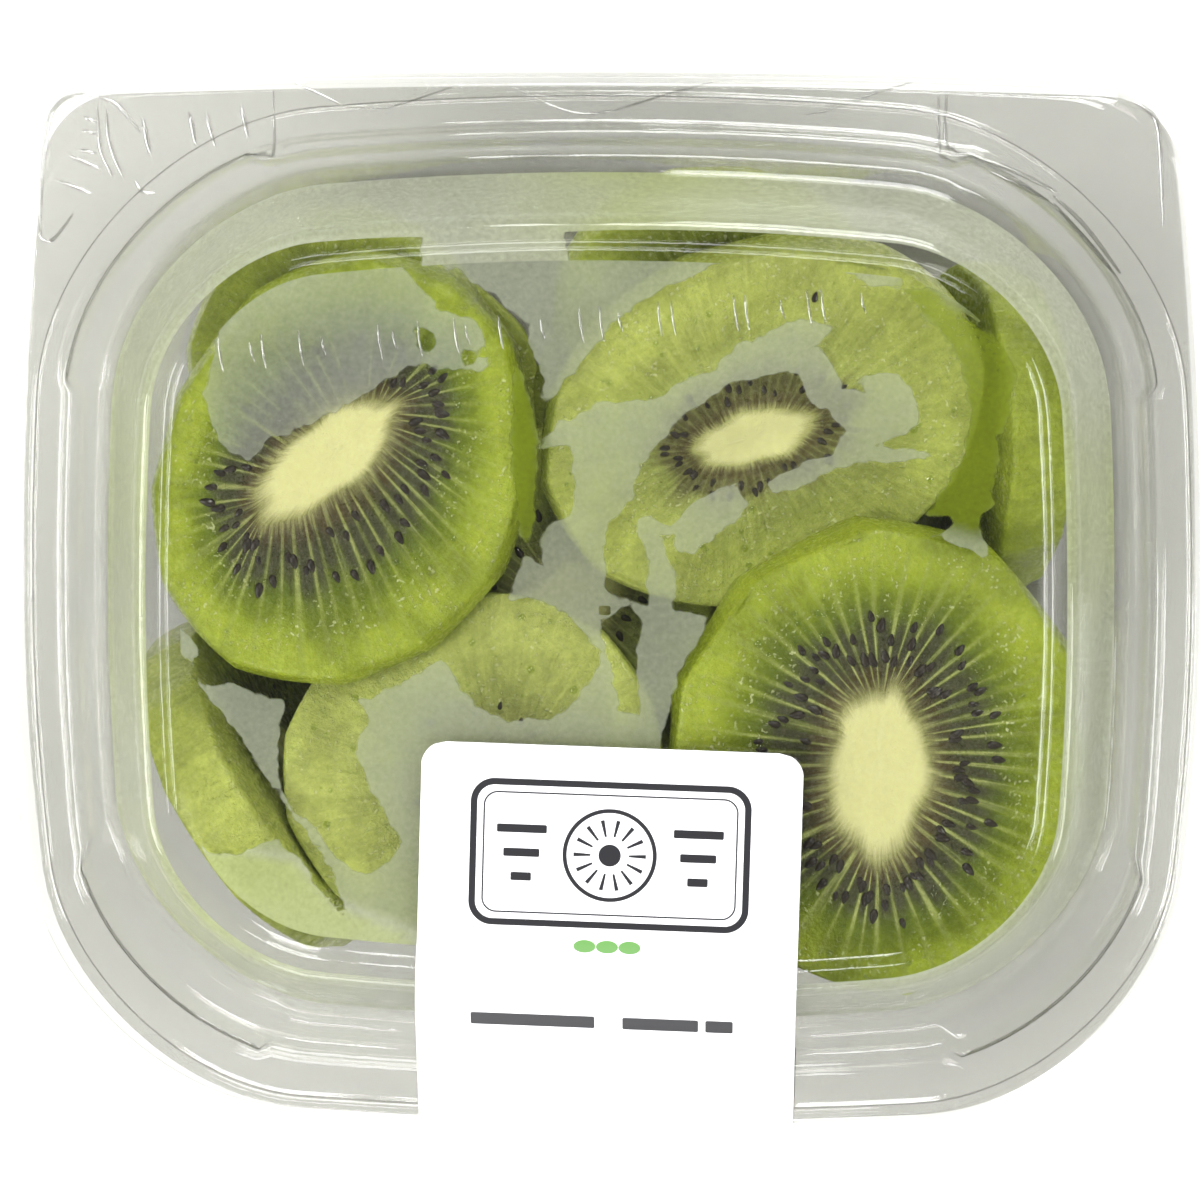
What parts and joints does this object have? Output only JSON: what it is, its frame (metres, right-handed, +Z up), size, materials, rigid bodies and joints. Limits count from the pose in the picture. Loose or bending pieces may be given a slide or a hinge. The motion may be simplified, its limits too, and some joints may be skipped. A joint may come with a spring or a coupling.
{
  "type": "sliced kiwi fruit pack",
  "caption": "Shut clear plastic box with a hinged lid, a plain white label folded over its front, and peeled kiwi fruit slices packed inside.",
  "frame": {"origin": "centre of the whole pack's box in plan, on the surface it stands on", "axes": "+Z up, +Y towards the hinge at the back, +X to the right as the label is read"},
  "size_m": [0.1395, 0.1252, 0.0487],
  "materials": {
    "clear_plastic": "clear gloss",
    "kiwi_flesh": "wet",
    "seed": "satin",
    "juice": "wet",
    "paper": "matt"
  },
  "bodies": {
    "root": {"tub": "clear_plastic", "lid": "clear_plastic", "hinge_strip": "clear_plastic", "label": "paper", "slice_top_back_left": "kiwi_flesh", "slice_top_back_right": "kiwi_flesh", "slice_top_front_right": "kiwi_flesh", "slice_top_front_left": "kiwi_flesh", "slice_standing_front": "kiwi_flesh", "slice_standing_right": "kiwi_flesh", "slice_fourth_middle": "kiwi_flesh", "slice_fourth_back_left": "kiwi_flesh", "slice_fourth_back": "kiwi_flesh", "slice_fourth_right": "kiwi_flesh", "slice_fourth_front": "kiwi_flesh", "slice_third_back_left": "kiwi_flesh", "slice_third_back_right": "kiwi_flesh", "slice_third_front_left": "kiwi_flesh", "slice_third_front_right": "kiwi_flesh", "slice_second_middle": "kiwi_flesh", "slice_second_back_left": "kiwi_flesh", "slice_second_back_right": "kiwi_flesh", "slice_second_right": "kiwi_flesh", "slice_second_front": "kiwi_flesh", "slice_first_back_left": "kiwi_flesh", "slice_first_back_right": "kiwi_flesh", "slice_first_front_left": "kiwi_flesh", "slice_first_front_right": "kiwi_flesh"}
  },
  "joints": []
}
